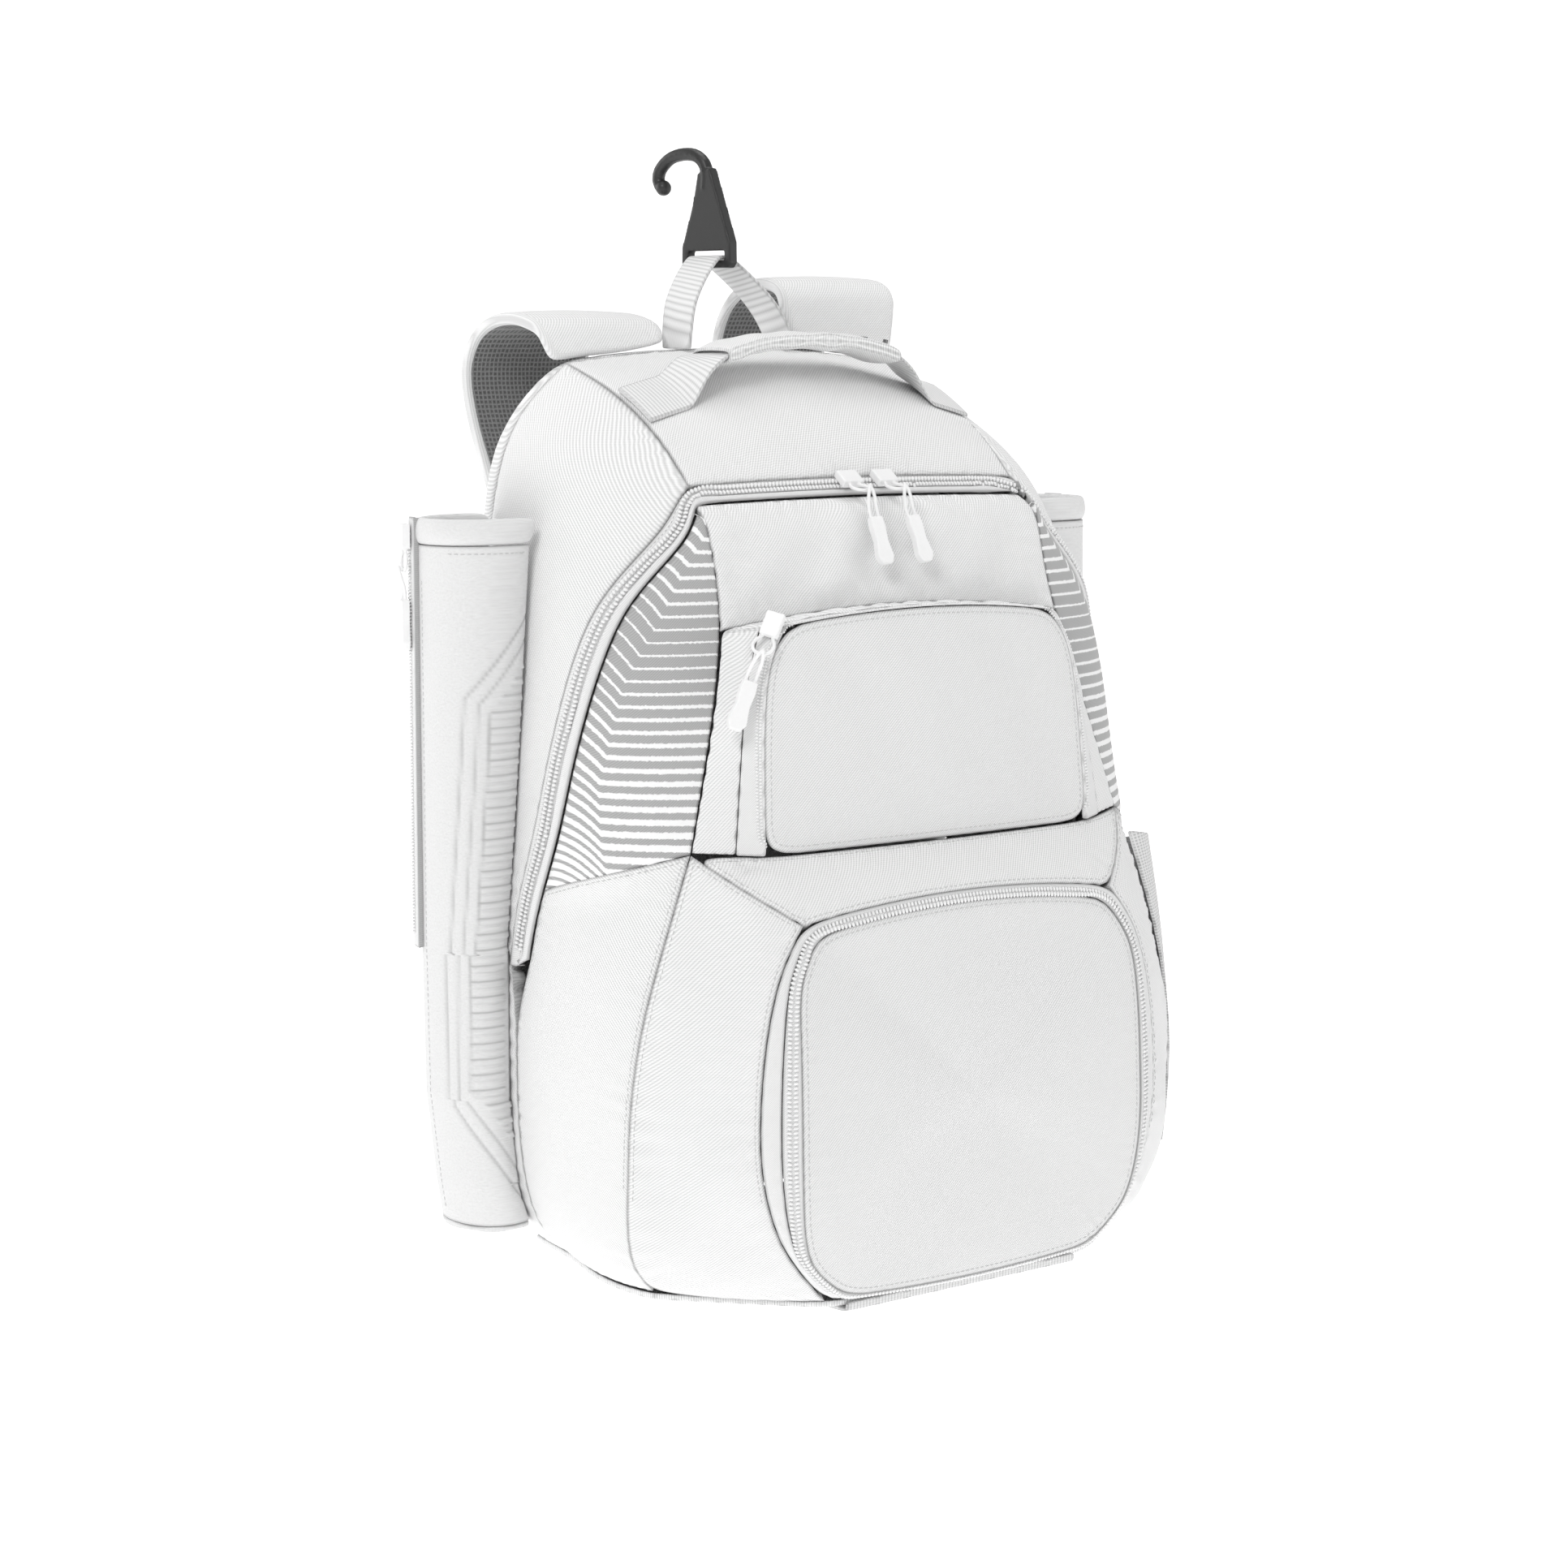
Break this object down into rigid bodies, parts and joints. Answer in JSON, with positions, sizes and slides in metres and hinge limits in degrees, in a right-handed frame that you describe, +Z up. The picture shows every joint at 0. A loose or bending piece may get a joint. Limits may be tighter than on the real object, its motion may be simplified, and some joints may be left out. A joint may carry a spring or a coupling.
{
  "type": "baseball bat backpack",
  "caption": "Soft backpack with side bat sleeves, arched main zipper, padded front pockets, two shoulder straps and a fence hook on a webbing strap.",
  "frame": {"origin": "inside top of the fence hook's crook, where the bag hangs on a wire; the bag's underside is 0.549 m below it", "axes": "+Z up as the bag hangs; -Y out of the front with the pockets; +X to the right of the front as it is looked at"},
  "size_m": [0.4235, 0.2879, 0.5587],
  "materials": {
    "cloth": "matte twill",
    "pocket_cloth": "matte twill",
    "striped_cloth": "matte print, grey with white lines",
    "zip_tape": "matte woven tape with a coil",
    "neoprene": "matte, fine grain",
    "webbing": "ribbed weave",
    "stretch_mesh": "matte knit",
    "pull_rubber": "satin",
    "black_plastic": "satin"
  },
  "bodies": {
    "root": {"back_panel": "cloth", "side_panel_right": "cloth", "side_panel_left": "cloth", "top_panel": "cloth", "main_zip": "zip_tape", "base_panel": "cloth", "chevron_panel_right": "striped_cloth", "chevron_panel_left": "striped_cloth", "upper_front_panel": "cloth", "mid_pocket_gusset": "cloth", "mid_pocket_zip": "zip_tape", "mid_pocket_front": "pocket_cloth", "lower_front_right": "cloth", "lower_front_left": "cloth", "lower_band": "cloth", "lower_side_right": "cloth", "lower_side_left": "cloth", "lower_pocket_gusset": "zip_tape", "lower_pocket_zip": "zip_tape", "lower_pocket_front": "pocket_cloth", "pocket_hinge_flap": "webbing", "mesh_pocket_right": "stretch_mesh", "bat_sleeve_right": "neoprene", "sleeve_rim_right": "neoprene", "sleeve_base_right": "neoprene", "sleeve_zip_right": "zip_tape", "bat_sleeve_left": "neoprene", "sleeve_rim_left": "neoprene", "sleeve_base_left": "neoprene", "sleeve_zip_left": "zip_tape", "handle_webbing": "webbing", "handle_wrap": "cloth", "hook_strap": "webbing", "fence_hook": "black_plastic", "shoulder_strap_left": "cloth", "strap_webbing_left": "webbing", "strap_adjuster_left": "black_plastic", "shoulder_strap_right": "cloth", "strap_webbing_right": "webbing", "strap_adjuster_right": "black_plastic", "main_left_slider": "pull_rubber", "main_left_pull": "pull_rubber", "main_right_slider": "pull_rubber", "main_right_pull": "pull_rubber", "mid_slider": "pull_rubber", "mid_pull": "pull_rubber", "sleeve_right_slider": "pull_rubber", "sleeve_right_pull": "pull_rubber", "sleeve_left_slider": "pull_rubber", "sleeve_left_pull": "pull_rubber"}
  },
  "joints": []
}
